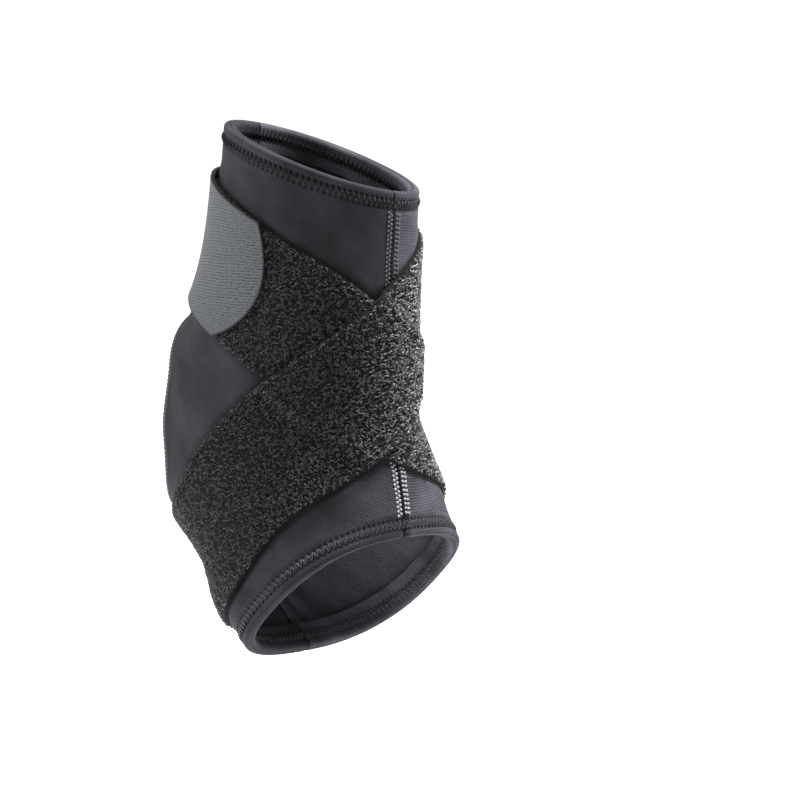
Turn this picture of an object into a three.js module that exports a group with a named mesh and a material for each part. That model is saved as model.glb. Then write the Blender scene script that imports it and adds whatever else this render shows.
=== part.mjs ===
// Open-heel ankle brace for a right foot: a two-panel neoprene sleeve with turned hems and an edged
// heel opening, one loop-faced strap wound over it in a figure of eight, and the grey hook tab that
// closes the strap on the outer side of the leg.
// Millimetres, +Z up the leg, toes towards -Y, the outer side of the foot towards -X.
// The origin is the centre of the ankle joint.
import * as THREE from "three";

// Sizes of the worn sleeve, measured on its inner face
const legHeight = 108; // ankle centre up to the top edge at the back
const soleDrop = 99; // ankle centre down to the lowest corner of the foot edge
const instepReach = 67; // ankle centre forward to the foot edge on the instep
const heelReach = 65; // ankle centre back to the heel
const ankleWidth = 72; // side to side at the narrowest place
const boneSwell = 2.5; // how far the ankle bones push the sleeve out
const boneReach = 17; // radius of that swelling
const boneBack = 6; // the bones' peaks lie this far behind the ankle centre
const boneDown = 2; // and this far below it

// Cloth and strap
const neoprene = 3; // thickness of the panels
const strapWidth = 51;
const tabWidth = 52;
const strapThick = 2.2;
const tabThick = 1.5;
const gap = 0.5; // clearance between pieces that lie against each other
const seamGap = 0.3; // clearance between pieces that meet edge to edge
const hemDepth = 11; // how far a turned hem reaches in from its edge
const hemThick = 1.6; // thickness of its turned-in layer
const hemLip = 2; // how far the fold wraps down over the outer face
const edgingWidth = 3; // edging of the heel opening, along the panel
const edgingThick = 4.2; // edging of the heel opening, through the panel
const edgingRound = 1.2; // how deep its outer corners are cut back through the panel
const edgingSlope = 0.9; // and along it
const seamSwing = 5; // degrees by which the front seam swings outwards down to the foot edge

// Sections of the sleeve from the top edge to the foot edge. Front and back give the forward and
// upward place of the mid-line as shares of the reaches and heights above, width is a share of
// ankleWidth, lean how much the outer side stands higher as a share of half the width, egg moves the
// widest place backwards, inner moves the inner side forwards again, and square flattens the sides.
const sections = [
  { front: [0.61, 0.85], back: [-0.48, 1], width: 1, lean: 0.07, egg: 0, inner: 0, square: 2.1 },
  { front: [0.63, 0.65], back: [-0.48, 0.74], width: 0.97, lean: 0.04, egg: 0, inner: 0, square: 2.1 },
  { front: [0.64, 0.46], back: [-0.53, 0.5], width: 0.95, lean: 0.01, egg: 0, inner: 0.08, square: 2.1 },
  { front: [0.66, 0.3], back: [-0.64, 0.3], width: 0.98, lean: 0, egg: 0, inner: 0.1, square: 2.1 },
  { front: [0.7, 0.13], back: [-0.86, 0.09], width: 1.02, lean: 0, egg: 0.05, inner: 0.1, square: 2.1 },
  { front: [0.75, 0], back: [-0.95, -0.2], width: 1.09, lean: 0, egg: 0.1, inner: 0.1, square: 2.1 },
  { front: [0.81, -0.11], back: [-0.63, -0.455], width: 1.16, lean: 0, egg: 0.12, inner: 0.1, square: 2.2 },
  { front: [0.88, -0.215], back: [-0.2, -0.65], width: 1.19, lean: 0, egg: 0.15, inner: 0.11, square: 2.3 },
  { front: [0.935, -0.315], back: [0, -0.83], width: 1.25, lean: 0.015, egg: 0.15, inner: 0.14, square: 2.4 },
  { front: [0.98, -0.42], back: [0.3, -1], width: 1.33, lean: 0.03, egg: 0.12, inner: 0.16, square: 2.5 },
];

// Centre line of the strap, from its sewn start behind the outer side of the leg, down over the
// instep, under the sole, up over the instep again and round the back of the leg to the tab.
// Angle is in degrees round the sleeve, 0 at the front and 90 at the outer side.
const winding = [
  { angle: 142, run: 0.185 },
  { angle: 115, run: 0.2 },
  { angle: 90, run: 0.232 },
  { angle: 68, run: 0.27 },
  { angle: 45, run: 0.325 },
  { angle: 25, run: 0.385 },
  { angle: 5, run: 0.45 },
  { angle: -20, run: 0.523 },
  { angle: -50, run: 0.632 },
  { angle: -80, run: 0.722 },
  { angle: -110, run: 0.778 },
  { angle: -145, run: 0.818 },
  { angle: -180, run: 0.82 },
  { angle: -215, run: 0.808 },
  { angle: -250, run: 0.766 },
  { angle: -280, run: 0.703 },
  { angle: -310, run: 0.593 },
  { angle: -335, run: 0.47 },
  { angle: -360, run: 0.38 },
  { angle: -390, run: 0.295 },
  { angle: -420, run: 0.24 },
  { angle: -450, run: 0.21 },
  { angle: -490, run: 0.19 },
  { angle: -540, run: 0.18 },
  { angle: -580, run: 0.186 },
  { angle: -612, run: 0.21 },
  { angle: -645, run: 0.245 },
];
const tabAngle = -556; // angle where the tab begins, sewn on over the strap's end
const tabSweep = 71; // degrees from there to the corners of the tab's rounded end
const strapSweep = 16; // degrees that the strap runs on under the tab
const tabRound = 11.5; // how far the rounded end stands out past its corners
const firstTurnAngle = -75; // the first turn, which later ones lie on, reaches to this angle
const crossing = [-230, -450]; // the second turn passes over the first between these angles

// Heel opening, an oval round the back mid-line
const opening = { middle: 0.565, above: 0.2, below: 0.14, halfAngle: 69 };

// A smooth curve through the values, at place t from 0 to values.length - 1
function through(values, t) {
  const last = values.length - 1;
  const i = Math.min(last - 1, Math.max(0, Math.floor(t)));
  const f = t - i;
  const at = (k) =>
    k < 0 ? 2 * values[0] - values[1] : k > last ? 2 * values[last] - values[last - 1] : values[k];
  const [a, b, c, d] = [at(i - 1), at(i), at(i + 1), at(i + 2)];
  return b + 0.5 * f * (c - a + f * (2 * a - 5 * b + 4 * c - d + f * (3 * (b - c) + d - a)));
}
const smooth = (x) => THREE.MathUtils.smoothstep(x, 0, 1);

const forward = (share) => share * (share > 0 ? instepReach : heelReach);
const upward = (share) => share * (share > 0 ? legHeight : soleDrop);
const columns = {
  frontForward: sections.map((s) => forward(s.front[0])),
  frontUp: sections.map((s) => upward(s.front[1])),
  backForward: sections.map((s) => forward(s.back[0])),
  backUp: sections.map((s) => upward(s.back[1])),
  width: sections.map((s) => s.width * ankleWidth),
  lean: sections.map((s) => s.lean * ankleWidth),
  egg: sections.map((s) => s.egg),
  inner: sections.map((s) => s.inner),
  square: sections.map((s) => s.square),
};

// A point of the sleeve's inner face: run from 0 at the top edge to 1 at the foot edge
function innerPoint(run, angle) {
  const t = run * (sections.length - 1);
  const v = {};
  for (const name in columns) v[name] = through(columns[name], t);
  const a = THREE.MathUtils.degToRad(angle);
  const sides = Math.abs(Math.cos(a)) ** v.square + Math.abs(Math.sin(a)) ** v.square;
  const round = sides ** (-1 / v.square);
  const p = round * Math.cos(a);
  const q = round * Math.sin(a);
  const egg = q < 0 ? v.egg - v.inner : v.egg;
  const along = 0.5 + 0.5 * (p - egg * (1 - p * p));
  const f = v.backForward + (v.frontForward - v.backForward) * along;
  const u = v.backUp + (v.frontUp - v.backUp) * along + v.lean * q;
  const away = Math.hypot(f + boneBack, u + boneDown) / boneReach;
  const bone = boneSwell * Math.exp(-(away ** 2)) * q ** 2;
  return new THREE.Vector3(-q * v.width * 0.5 - Math.sign(q) * bone, -f, u);
}
// Directions down the sleeve and round it at a place, taken over a short span either side, and out
const runStep = 0.002;
const angleStep = 0.5; // degrees
const along = ([run, angle]) =>
  innerPoint(run + runStep, angle).sub(innerPoint(run - runStep, angle));
const around = ([run, angle]) =>
  innerPoint(run, angle + angleStep).sub(innerPoint(run, angle - angleStep));
const facing = (place) => around(place).cross(along(place)).normalize();
const onForm = (place, lift) => innerPoint(...place).addScaledVector(facing(place), lift);
// How fast the sleeve's outer face runs on per unit of a place's run or angle
function slope([run, angle], runSpan, angleSpan) {
  const ahead = onForm([run + runSpan, angle + angleSpan], neoprene);
  const behind = onForm([run - runSpan, angle - angleSpan], neoprene);
  return ahead.sub(behind).divideScalar(2 * (runSpan + angleSpan));
}

// The place reached from another by going a distance over the sleeve's outer face in a direction
function moved(place, direction, distance) {
  const steps = Math.max(1, Math.ceil(Math.abs(distance) / 3));
  const step = distance / steps;
  const way = direction.clone();
  let [run, angle] = place;
  for (let k = 0; k < steps; k++) {
    const out = facing([run, angle]);
    way.addScaledVector(out, -way.dot(out)).normalize();
    const r = slope([run, angle], runStep, 0);
    const a = slope([run, angle], 0, angleStep);
    const [rr, aa, ra] = [r.dot(r), a.dot(a), r.dot(a)];
    const [wr, wa] = [way.dot(r) * step, way.dot(a) * step];
    const size = rr * aa - ra * ra;
    run += (wr * aa - wa * ra) / size;
    angle += (wa * rr - wr * ra) / size;
  }
  return [run, angle];
}

// A closed solid between the lower and the upper points of a grid
function slab(lower, upper) {
  const m = lower.length;
  const n = lower[0].length;
  const points = [...upper.flat(), ...lower.flat()];
  const id = (side, i, j) => side * m * n + i * n + j;
  const tris = [];
  const quad = (a, b, c, d) => tris.push(a, b, c, a, c, d);
  for (let i = 0; i < m - 1; i++)
    for (let j = 0; j < n - 1; j++) {
      quad(id(0, i, j), id(0, i + 1, j), id(0, i + 1, j + 1), id(0, i, j + 1));
      quad(id(1, i, j), id(1, i, j + 1), id(1, i + 1, j + 1), id(1, i + 1, j));
    }
  for (let j = 0; j < n - 1; j++) {
    quad(id(0, 0, j), id(0, 0, j + 1), id(1, 0, j + 1), id(1, 0, j));
    quad(id(0, m - 1, j), id(1, m - 1, j), id(1, m - 1, j + 1), id(0, m - 1, j + 1));
  }
  for (let i = 0; i < m - 1; i++) {
    quad(id(0, i, 0), id(1, i, 0), id(1, i + 1, 0), id(0, i + 1, 0));
    quad(id(0, i, n - 1), id(0, i + 1, n - 1), id(1, i + 1, n - 1), id(1, i, n - 1));
  }
  return solid(points, tris);
}
// A closed ring from a list of closed cross-sections
function ring(crossSections) {
  const m = crossSections.length;
  const n = crossSections[0].length;
  const tris = [];
  for (let i = 0; i < m; i++)
    for (let j = 0; j < n; j++) {
      const [a, b] = [i * n + j, i * n + ((j + 1) % n)];
      const [c, d] = [((i + 1) % m) * n + ((j + 1) % n), ((i + 1) % m) * n + j];
      tris.push(a, b, c, a, c, d);
    }
  return solid(crossSections.flat(), tris);
}
function solid(points, tris) {
  const geometry = new THREE.BufferGeometry();
  const flat = points.flatMap((p) => p.toArray());
  geometry.setAttribute("position", new THREE.Float32BufferAttribute(flat, 3));
  geometry.setIndex(tris);
  return geometry;
}

const brace = new THREE.Group();
function add(name, geometry, color, roughness) {
  const finish = new THREE.MeshStandardMaterial({ color, roughness, metalness: 0 });
  const mesh = new THREE.Mesh(geometry, finish);
  mesh.name = name;
  brace.add(mesh);
}
const panelColor = 0x3a3b43;
const edgeColor = 0x1c1c20;
const strapColor = 0x2c2c2e;
const tabColor = 0x6f7377;

const edgeSteps = 20; // steps round each half of the heel opening
const turnStep = 0.01; // span over which the rim's direction is taken, in radians

// Rim of the heel opening at a turn from 0 at its top over 0.5 at its bottom to 1, moved outwards
function rim(turn, outward) {
  const a = turn * 2 * Math.PI;
  const half = Math.cos(a) > 0 ? opening.above : opening.below;
  const at = (s) => [opening.middle - half * Math.cos(s), 180 - opening.halfAngle * Math.sin(s)];
  const way = onForm(at(a + turnStep), neoprene).sub(onForm(at(a - turnStep), neoprene));
  return moved(at(a), way.cross(facing(at(a))).negate(), outward);
}

// Evens out the inner places of a grid, so that its rows fan gently round the heel opening
function relax(places, rounds) {
  for (let k = 0; k < rounds; k++)
    for (let i = 1; i < places.length - 1; i++)
      for (let j = 1; j < places[0].length - 1; j++) {
        const next = [places[i - 1][j], places[i + 1][j], places[i][j - 1], places[i][j + 1]];
        const total = (c) => next.reduce((sum, place) => sum + place[c], 0);
        places[i][j] = [total(0) / next.length, total(1) / next.length];
      }
}

// One panel from the front seam round one side to the back seam, trimmed at the heel opening. Its
// rows spread down the front seam partly evenly and partly as they lie down the back.
const panelColumns = 18;
const seamRows = [9, 7]; // rows of the back seam above and below the heel opening
const evenShare = 0.35;
const relaxRounds = 30;
function panel(side) {
  const inset = hemLip + seamGap;
  const inFrom = (run, angle, way) => moved([run, angle], along([run, angle]), way * inset)[0];
  const [top, foot] = [inFrom(0, 180, 1), inFrom(1, 180, -1)];
  const [start, end] = [inFrom(0, 0, 1), inFrom(1, 0, -1)];
  const cut = edgingWidth + seamGap;
  const [above, below] = [rim(0, cut)[0], rim(0.5, cut)[0]];
  const back = [];
  for (let k = 0; k < seamRows[0]; k++) back.push([top + ((above - top) * k) / seamRows[0], 180]);
  for (let k = 0; k <= edgeSteps; k++) back.push(rim((0.5 * k) / edgeSteps, cut));
  for (let k = 1; k <= seamRows[1]; k++) back.push([below + ((foot - below) * k) / seamRows[1], 180]);
  const seam = (run, angle, way) => moved([run, angle], around([run, angle]), (way * seamGap) / 2)[1];
  const places = back.map(([run, angle], i) => {
    const even = evenShare * (i / (back.length - 1));
    const frontRun = start + (end - start) * (even + (1 - evenShare) * ((run - top) / (foot - top)));
    const from = seam(frontRun, side * seamSwing * frontRun ** 2, 1);
    const to = Math.min(angle, seam(run, 180, -1));
    const line = [];
    for (let j = 0; j <= panelColumns; j++) {
      const share = j / panelColumns;
      line.push([frontRun + (run - frontRun) * smooth(share), side * (from + (to - from) * share)]);
    }
    return side > 0 ? line.reverse() : line;
  });
  places[0] = places[0].map(([, angle]) => [inFrom(0, angle, 1), angle]);
  places[back.length - 1] = places[back.length - 1].map(([, angle]) => [inFrom(1, angle, -1), angle]);
  relax(places, relaxRounds);
  const face = (lift) => places.map((line) => line.map((place) => onForm(place, lift)));
  return slab(face(0), face(neoprene));
}
add("lateral_panel", panel(1), panelColor, 0.85);
add("medial_panel", panel(-1), panelColor, 0.85);

// Turned hems: a rounded fold over the edge and the turned-in layer inside. The cross-section gives
// the distance in from the edge and the lift above the sleeve's inner face.
const hemSteps = 44;
const inside = -gap;
const foldRound = [0.9, 0.15, 0, 0.7]; // distance in from the edge of the fold's own corners
const hemSection = [
  [hemLip, neoprene],
  [foldRound[0], neoprene * 0.97],
  [foldRound[1], neoprene * 0.67],
  [foldRound[2], neoprene * 0.07],
  [foldRound[3], inside - hemThick / 2],
  [hemLip, inside - hemThick],
  [hemDepth, inside - hemThick],
  [hemDepth, inside],
  [hemLip, inside],
];
function hem(run, way) {
  const crossSections = [];
  for (let k = 0; k < hemSteps; k++) {
    const edge = [run, (360 * k) / hemSteps];
    const section = hemSection.map(([d, lift]) => onForm(moved(edge, along(edge), way * d), lift));
    crossSections.push(way > 0 ? section : section.reverse());
  }
  return ring(crossSections);
}
add("top_hem", hem(0, 1), panelColor, 0.85);
add("foot_hem", hem(1, -1), panelColor, 0.85);

// Rounded overlocked edging of the heel opening
const [low, high] = [(neoprene - edgingThick) / 2, (neoprene + edgingThick) / 2];
const edgingSection = [
  [edgingSlope, low],
  [edgingWidth, low],
  [edgingWidth, high],
  [edgingSlope, high],
  [0, high - edgingRound],
  [0, low + edgingRound],
];
const edging = [];
for (let k = 0; k < 2 * edgeSteps; k++)
  edging.push(edgingSection.map(([d, lift]) => onForm(rim((0.5 * k) / edgeSteps, d), lift)));
add("heel_edging", ring(edging), edgeColor, 0.9);

// The winding as places at every millimetre of its length
const rowShare = 0.01; // step along the table above, well under a millimetre of strap
const line = [];
{
  const [angles, runs] = [winding.map((w) => w.angle), winding.map((w) => w.run)];
  let before = null;
  let carried = 0;
  for (let t = 0; t <= winding.length - 1; t += rowShare) {
    const place = [through(runs, t), through(angles, t)];
    const point = onForm(place, neoprene);
    if (before) carried += point.distanceTo(before);
    before = point;
    if (carried >= line.length) line.push({ place, point });
  }
}
const lengthAt = (angle) => line.findIndex(({ place }) => place[1] <= angle);
// A place beside the centre line: length along it, offset across it towards the foot
function beside(length, offset) {
  const k = Math.min(line.length - 2, Math.max(1, Math.round(length)));
  const way = line[k + 1].point.clone().sub(line[k - 1].point);
  const start = moved(line[k].place, way, length - k);
  return moved(start, facing(start).cross(way), offset);
}
// How much a point is held up, from 0 to 1, by the turn of strap between two lengths: fully as far
// as hold past its edge, and no more after a further ramp
const hold = 8;
const ramp = 9;
function heldUp(point, from, to) {
  let nearest = from;
  for (let k = from; k <= to; k += 2)
    if (line[k].point.distanceTo(point) < line[nearest].point.distanceTo(point)) nearest = k;
  const k = Math.max(1, nearest);
  const way = line[k + 1].point.clone().sub(line[k - 1].point).normalize();
  const off = point.clone().sub(line[k].point);
  const past = nearest <= from + 2 ? -off.dot(way) : nearest >= to - 2 ? off.dot(way) : 0;
  const beyond = Math.max(off.addScaledVector(way, -off.dot(way)).length() - strapWidth / 2, past);
  return 1 - smooth((beyond - hold) / ramp);
}
const base = neoprene + gap;
const layer = strapThick + gap;
const firstTurn = [0, lengthAt(firstTurnAngle)];

// Faces of a band between two lengths, with a rounded end of the given depth
function band(from, to, width, rows, cols, thick, lift, rounded) {
  const lower = [];
  const upper = [];
  for (let i = 0; i <= rows; i++) {
    const places = [];
    for (let j = 0; j <= cols; j++) {
      const across = (2 * j) / cols - 1;
      const stretched = rounded * (1 - across * across) * smooth(i / rows);
      places.push(beside(from + ((to - from) * i) / rows + stretched, (across * width) / 2));
    }
    const lifts = places.map((place) => lift(onForm(place, neoprene), from + ((to - from) * i) / rows));
    lower.push(places.map((place, j) => onForm(place, lifts[j])));
    upper.push(places.map((place, j) => onForm(place, lifts[j] + thick)));
  }
  return slab(lower, upper);
}
const bandColumns = 8;
const strapRows = 88;
const [over, clear] = crossing.map(lengthAt);
const strapLift = (point, length) =>
  base + (length > over && length < clear ? layer * heldUp(point, ...firstTurn) : 0);
const strapTo = lengthAt(tabAngle - strapSweep);
const strap = band(1, strapTo, strapWidth, strapRows, bandColumns, strapThick, strapLift, 0);
add("figure_eight_strap", strap, strapColor, 1);

const tabRows = 16;
const tabReach = 30; // length of strap before the tab that holds it up
const [tabFrom, tabTo] = [lengthAt(tabAngle), lengthAt(tabAngle - tabSweep)];
const lastTurn = [Math.max(Math.round(tabFrom - tabReach), 1), strapTo];
const turnsUnder = (point) => Math.max(heldUp(point, ...firstTurn), heldUp(point, ...lastTurn));
const tabLift = (point) => base + layer * turnsUnder(point);
const tab = band(tabFrom, tabTo, tabWidth, tabRows, bandColumns, tabThick, tabLift, tabRound);
add("hook_tab", tab, tabColor, 0.8);

export default brace;
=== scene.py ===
import math

import bpy
import numpy as np
from mathutils import Matrix, Vector


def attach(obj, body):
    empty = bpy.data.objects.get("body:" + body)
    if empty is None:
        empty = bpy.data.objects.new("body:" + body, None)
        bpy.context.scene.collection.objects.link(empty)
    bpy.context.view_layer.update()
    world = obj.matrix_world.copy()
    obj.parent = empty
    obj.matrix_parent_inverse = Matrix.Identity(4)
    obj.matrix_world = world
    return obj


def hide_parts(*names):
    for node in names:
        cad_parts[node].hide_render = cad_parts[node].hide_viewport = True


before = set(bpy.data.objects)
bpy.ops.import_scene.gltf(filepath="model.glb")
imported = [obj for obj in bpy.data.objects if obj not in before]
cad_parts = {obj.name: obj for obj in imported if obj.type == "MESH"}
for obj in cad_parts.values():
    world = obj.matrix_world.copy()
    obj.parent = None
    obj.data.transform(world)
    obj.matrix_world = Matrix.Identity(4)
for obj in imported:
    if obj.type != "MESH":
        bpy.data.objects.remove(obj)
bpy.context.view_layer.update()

# ------------------------------------------------------------------------------------------------
# Lateral and medial panels
# Two shaped panels of 3 mm neoprene with a fine nylon knit on its face, butted and sewn together
# down the front and the back. Worn, they are stretched smooth over the ankle bones, and the foam
# swells a little beside the strap that presses on it.
# ------------------------------------------------------------------------------------------------
MM = 0.001
LEG_HEIGHT = 108.0  # ankle centre up to the top edge at the back, and the next four likewise in mm
SOLE_DROP = 99.0
INSTEP_REACH = 67.0
HEEL_REACH = 65.0
ANKLE_WIDTH = 72.0
BONE_SWELL = 2.5
BONE_REACH = 17.0
BONE_BACK, BONE_DOWN = 6.0, 2.0  # where the bones' peaks lie behind and below the ankle centre
NEOPRENE = 3.0

# Sections from the top edge to the foot edge: front and back mid-line as forward and upward shares
# of the reaches and heights, width and lean as shares of ANKLE_WIDTH, how far the widest place lies
# backwards and the inner side forwards again, and squareness
SECTIONS = np.array(
    [
        (0.61, 0.85, -0.48, 1.0, 1.0, 0.07, 0.0, 0.0, 2.1),
        (0.63, 0.65, -0.48, 0.74, 0.97, 0.04, 0.0, 0.0, 2.1),
        (0.64, 0.46, -0.53, 0.5, 0.95, 0.01, 0.0, 0.08, 2.1),
        (0.66, 0.3, -0.64, 0.3, 0.98, 0.0, 0.0, 0.1, 2.1),
        (0.7, 0.13, -0.86, 0.09, 1.02, 0.0, 0.05, 0.1, 2.1),
        (0.75, 0.0, -0.95, -0.2, 1.09, 0.0, 0.1, 0.1, 2.1),
        (0.81, -0.11, -0.63, -0.455, 1.16, 0.0, 0.12, 0.1, 2.2),
        (0.88, -0.215, -0.2, -0.65, 1.19, 0.0, 0.15, 0.11, 2.3),
        (0.935, -0.315, 0.0, -0.83, 1.25, 0.015, 0.15, 0.14, 2.4),
        (0.98, -0.42, 0.3, -1.0, 1.33, 0.03, 0.12, 0.16, 2.5),
    ]
)
FORWARD, UPWARD = [0, 2], [1, 3]
SECTIONS[:, FORWARD] *= np.where(SECTIONS[:, FORWARD] > 0, INSTEP_REACH, HEEL_REACH)
SECTIONS[:, UPWARD] *= np.where(SECTIONS[:, UPWARD] > 0, LEG_HEIGHT, SOLE_DROP)
SECTIONS[:, [4, 5]] *= ANKLE_WIDTH

# Centre line of the strap, as angle round the sleeve (0 front, 90 outer side) and run (0 top, 1 foot)
WINDING = np.array(
    [
        (142, 0.185), (115, 0.2), (90, 0.232), (68, 0.27), (45, 0.325), (25, 0.385), (5, 0.45),
        (-20, 0.523), (-50, 0.632), (-80, 0.722), (-110, 0.778), (-145, 0.818), (-180, 0.82),
        (-215, 0.808), (-250, 0.766), (-280, 0.703), (-310, 0.593), (-335, 0.47), (-360, 0.38),
        (-390, 0.295), (-420, 0.24), (-450, 0.21), (-490, 0.19), (-540, 0.18), (-580, 0.186),
        (-612, 0.21), (-645, 0.245),
    ]
)
STRAP_WIDTH = 51.0
SEAM_SWING = 5.0  # degrees by which the front seam swings outwards down to the foot edge
OPENING_MIDDLE, OPENING_ABOVE, OPENING_BELOW, OPENING_ANGLE = 0.565, 0.2, 0.14, 69.0
RUN_STEP, ANGLE_STEP = 0.002, 0.5  # half the span over which slopes are taken


def through(values, t):
    """A smooth curve through rows of values, read at places t from 0 to the last row."""
    padded = np.concatenate([2 * values[:1] - values[1:2], values, 2 * values[-1:] - values[-2:-1]])
    i = np.clip(np.floor(t).astype(int), 0, len(values) - 2)
    f = (t - i).reshape(np.shape(t) + (1,) * (values.ndim - 1))
    a, b, c, d = (padded[i + k] for k in range(4))
    return b + 0.5 * f * (c - a + f * (2 * a - 5 * b + 4 * c - d + f * (3 * (b - c) + d - a)))


def smooth(x):
    x = np.clip(x, 0, 1)
    return x * x * (3 - 2 * x)


def unit(v):
    return v / np.linalg.norm(v, axis=-1, keepdims=True)


def inner_point(run, angle):
    """Points of the sleeve's inner face, in mm."""
    rows = through(SECTIONS, run * (len(SECTIONS) - 1))
    front_f, front_u, back_f, back_u, width, lean, egg, inner, square = np.moveaxis(rows, -1, 0)
    a = np.radians(angle)
    reach = (np.abs(np.cos(a)) ** square + np.abs(np.sin(a)) ** square) ** (-1 / square)
    p, q = reach * np.cos(a), reach * np.sin(a)
    egg = egg - inner * (q < 0)
    along = 0.5 + 0.5 * (p - egg * (1 - p * p))
    f = back_f + (front_f - back_f) * along
    u = back_u + (front_u - back_u) * along + lean * q
    bone = BONE_SWELL * np.exp(-((f + BONE_BACK) ** 2 + (u + BONE_DOWN) ** 2) / BONE_REACH**2) * q**2
    return np.stack([-q * width / 2 - np.sign(q) * bone, -f, u], -1)


def along(run, angle):
    return inner_point(run + RUN_STEP, angle) - inner_point(run - RUN_STEP, angle)


def around(run, angle):
    return inner_point(run, angle + ANGLE_STEP) - inner_point(run, angle - ANGLE_STEP)


def facing(run, angle):
    """Directions out of the sleeve."""
    return unit(np.cross(around(run, angle), along(run, angle)))


def on_form(places, lift):
    """Points at a lift above the sleeve's inner face; a place is (run, angle)."""
    run, angle = places[..., 0], places[..., 1]
    return inner_point(run, angle) + facing(run, angle) * np.asarray(lift)[..., None]


def moved(places, way, distance, steps=9):
    """Places reached by going a distance over the sleeve's outer face in a direction."""
    places = np.array(places, float)
    step = np.asarray(distance, float) / steps
    for _ in range(steps):
        out = facing(places[..., 0], places[..., 1])
        way = unit(way - out * np.sum(way * out, -1, keepdims=True))
        r, a = (
            (on_form(places + half, NEOPRENE) - on_form(places - half, NEOPRENE)) / (2 * half.max())
            for half in (np.array([RUN_STEP, 0]), np.array([0, ANGLE_STEP]))
        )
        rr, aa, ra = np.sum(r * r, -1), np.sum(a * a, -1), np.sum(r * a, -1)
        wr, wa = np.sum(way * r, -1) * step, np.sum(way * a, -1) * step
        size = rr * aa - ra * ra
        places = places + np.stack([(wr * aa - wa * ra) / size, (wa * rr - wr * ra) / size], -1)
    return places


def refined(places, rows, columns):
    """A coarse grid of places or points read at finer rows and columns."""
    return np.swapaxes(through(np.swapaxes(through(places, rows), 0, 1), columns), 0, 1)


# The strap's line over the sleeve at every millimetre
t = np.arange(0, (len(WINDING) - 1) * 100 + 1) / 100
line_places = through(WINDING[:, ::-1], t)
line_points = on_form(line_places, NEOPRENE)
lengths = np.concatenate([[0], np.cumsum(np.linalg.norm(np.diff(line_points, axis=0), axis=1))])
whole = np.arange(int(lengths[-1]))
line_places = np.stack([np.interp(whole, lengths, line_places[:, c]) for c in (0, 1)], -1)
line_points = on_form(line_places, NEOPRENE)
line_ways = unit(np.gradient(line_points, axis=0))


def length_at(angle):
    return int(np.argmax(line_places[:, 1] <= angle))


def from_strap(points, first=0, last=None):
    """Distance of points past the edge of the strap that lies between two lengths, below 0 under it."""
    last = len(line_points) - 1 if last is None else last
    best = np.full(points.shape[:-1], 1e9)
    nearest = np.zeros(points.shape[:-1], int)
    for k in range(first, last + 1, 2):
        away = np.linalg.norm(points - line_points[k], axis=-1)
        nearest = np.where(away < best, k, nearest)
        best = np.minimum(best, away)
    off = points - line_points[nearest]
    past = np.sum(off * line_ways[nearest], -1)
    sideways = np.linalg.norm(off - line_ways[nearest] * past[..., None], axis=-1) - STRAP_WIDTH / 2
    past = np.where(nearest <= first + 2, -past, np.where(nearest >= last - 2, past, -1e9))
    return np.maximum(sideways, past)


def rim(turn, inward):
    """Places round the heel opening, turn 0 at its top and 0.5 at its bottom, moved into the cloth."""
    a = np.asarray(turn) * 2 * math.pi

    def at(s):
        half = np.where(np.cos(a) > 0, OPENING_ABOVE, OPENING_BELOW)
        return np.stack([OPENING_MIDDLE - half * np.cos(s), 180 - OPENING_ANGLE * np.sin(s)], -1)

    way = on_form(at(a + 0.01), NEOPRENE) - on_form(at(a - 0.01), NEOPRENE)
    middle = at(a)
    return moved(middle, -np.cross(way, facing(middle[..., 0], middle[..., 1])), inward)


def mottle(u, v, size, seed):
    """Smooth random heights from -1 to 1 over a cloth, with features of about one size."""
    table = np.random.default_rng(seed).uniform(-1, 1, (256, 256))
    x, y = u / size, v / size
    i, j = np.floor(x).astype(int), np.floor(y).astype(int)
    fx, fy = smooth(x - i), smooth(y - j)
    rows = [
        table[(i + a) % 256, j % 256] * (1 - fy) + table[(i + a) % 256, (j + 1) % 256] * fy
        for a in (0, 1)
    ]
    return rows[0] * (1 - fx) + rows[1] * fx


def lofted(name, loops, uvs, joined, edge=None):
    """A closed mesh through a row of closed loops of points in mm. The row closes on itself, or each
    end is closed by a strip between the two halves of its loop. uvs has one more entry round each
    loop, and one more loop where the row closes."""
    m, n = loops.shape[:2]
    i, j = np.meshgrid(np.arange(m if joined else m - 1), np.arange(n), indexing="ij")
    ids = lambda a, b: (a % m) * n + b % n
    marks = lambda a, b: a * (n + 1) + b
    ring = [(i, j), (i, j + 1), (i + 1, j + 1), (i + 1, j)]
    faces = np.stack([ids(a, b) for a, b in ring], -1).reshape(-1, 4)
    corners = np.stack([marks(a, b) for a, b in ring], -1).reshape(-1, 4)
    if not joined:
        k = np.arange(n // 2 - 1)
        for end, order in ((0, 1), (m - 1, -1)):
            strip = np.stack([k, n - 1 - k, n - 2 - k, k + 1], -1)[:, ::order]
            faces = np.concatenate([faces, end * n + strip])
            corners = np.concatenate([corners, end * (n + 1) + strip])
    points = loops.reshape(-1, 3)
    a, b, c, d = (points[faces[:, k]] for k in range(4))
    volume = np.sum(a * np.cross(b, c)) + np.sum(a * np.cross(c, d))
    if volume < 0:
        faces, corners = faces[:, ::-1], corners[:, ::-1]
    return meshed(name, points, faces.tolist(), uvs.reshape(-1, 2)[corners.reshape(-1)], edge)


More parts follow.
